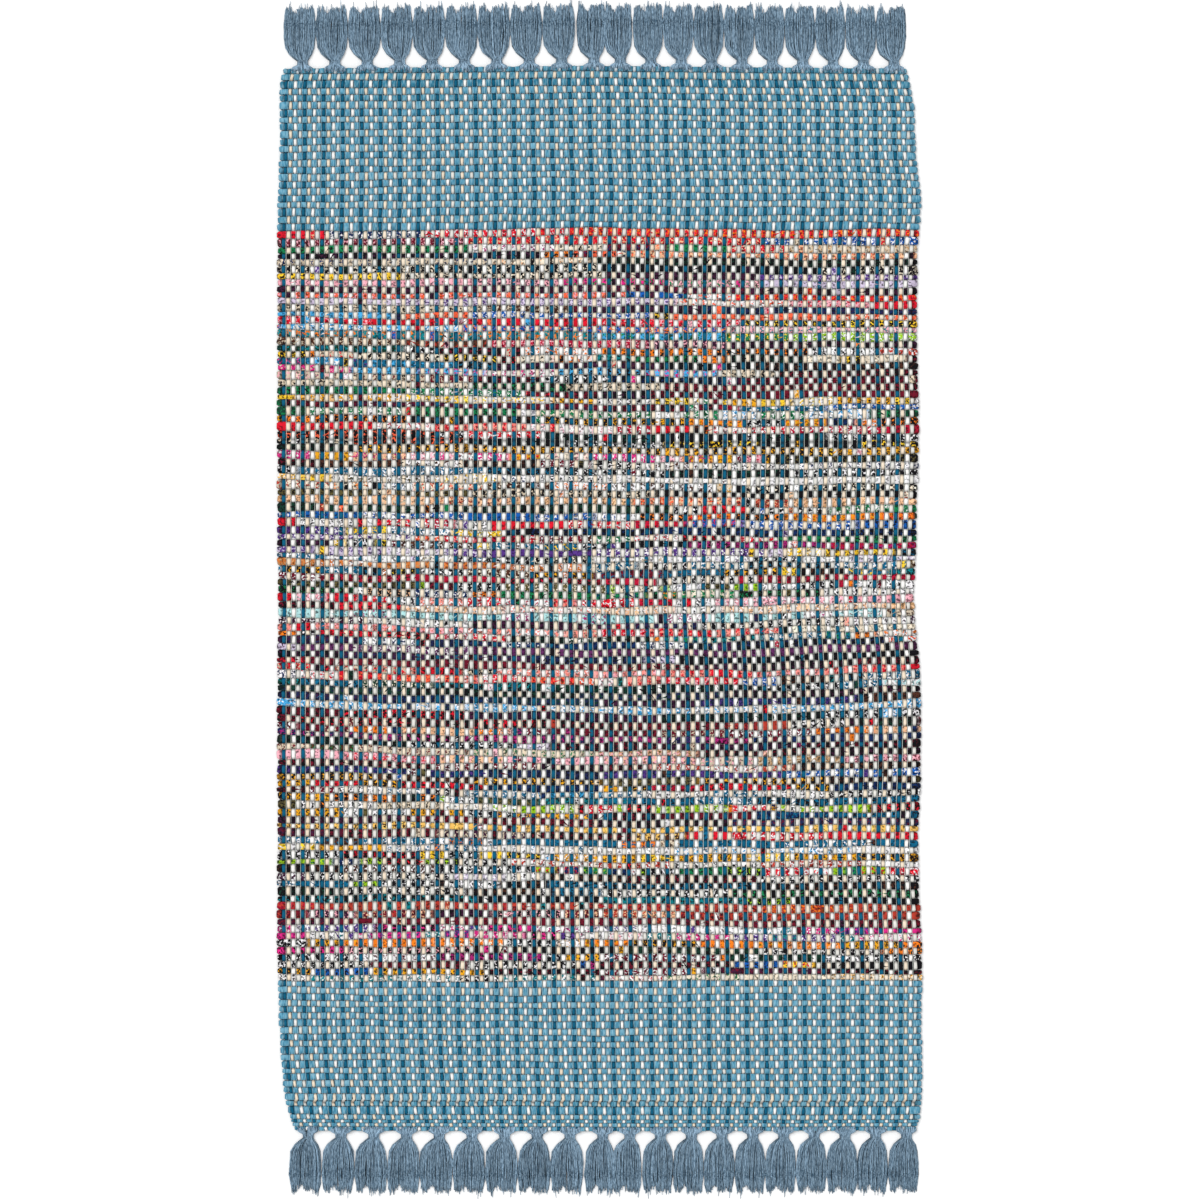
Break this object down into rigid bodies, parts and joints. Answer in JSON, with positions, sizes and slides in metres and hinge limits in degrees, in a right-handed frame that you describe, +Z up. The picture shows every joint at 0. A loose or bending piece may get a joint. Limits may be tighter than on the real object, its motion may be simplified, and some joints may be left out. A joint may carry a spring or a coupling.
{
  "type": "tasselled rag rug",
  "caption": "Flat-woven cotton rag rug: a rectangular cloth of many-coloured rag stripes between plain blue end borders, with a row of knotted yarn tassels along each short end.",
  "frame": {"origin": "on the floor under the middle of the rug's overall length and width", "axes": "+Z up from the floor, +Y along the rug's length to the end with the longer plain border, +X across it to the right"},
  "size_m": [0.9167, 1.6866, 0.0082],
  "materials": {
    "rag_cotton": "matte plain weave of torn cotton rags between cotton warp yarns",
    "tassel_cotton": "matte slate-blue cotton yarn, cut at the ends"
  },
  "bodies": {
    "root": {"cloth": "rag_cotton", "tassel_far_01": "tassel_cotton", "tassel_far_02": "tassel_cotton", "tassel_far_03": "tassel_cotton", "tassel_far_04": "tassel_cotton", "tassel_far_05": "tassel_cotton", "tassel_far_06": "tassel_cotton", "tassel_far_07": "tassel_cotton", "tassel_far_08": "tassel_cotton", "tassel_far_09": "tassel_cotton", "tassel_far_10": "tassel_cotton", "tassel_far_11": "tassel_cotton", "tassel_far_12": "tassel_cotton", "tassel_far_13": "tassel_cotton", "tassel_far_14": "tassel_cotton", "tassel_far_15": "tassel_cotton", "tassel_far_16": "tassel_cotton", "tassel_far_17": "tassel_cotton", "tassel_far_18": "tassel_cotton", "tassel_far_19": "tassel_cotton", "tassel_far_20": "tassel_cotton", "tassel_near_01": "tassel_cotton", "tassel_near_02": "tassel_cotton", "tassel_near_03": "tassel_cotton", "tassel_near_04": "tassel_cotton", "tassel_near_05": "tassel_cotton", "tassel_near_06": "tassel_cotton", "tassel_near_07": "tassel_cotton", "tassel_near_08": "tassel_cotton", "tassel_near_09": "tassel_cotton", "tassel_near_10": "tassel_cotton", "tassel_near_11": "tassel_cotton", "tassel_near_12": "tassel_cotton", "tassel_near_13": "tassel_cotton", "tassel_near_14": "tassel_cotton", "tassel_near_15": "tassel_cotton", "tassel_near_16": "tassel_cotton", "tassel_near_17": "tassel_cotton", "tassel_near_18": "tassel_cotton", "tassel_near_19": "tassel_cotton", "tassel_near_20": "tassel_cotton"}
  },
  "joints": []
}
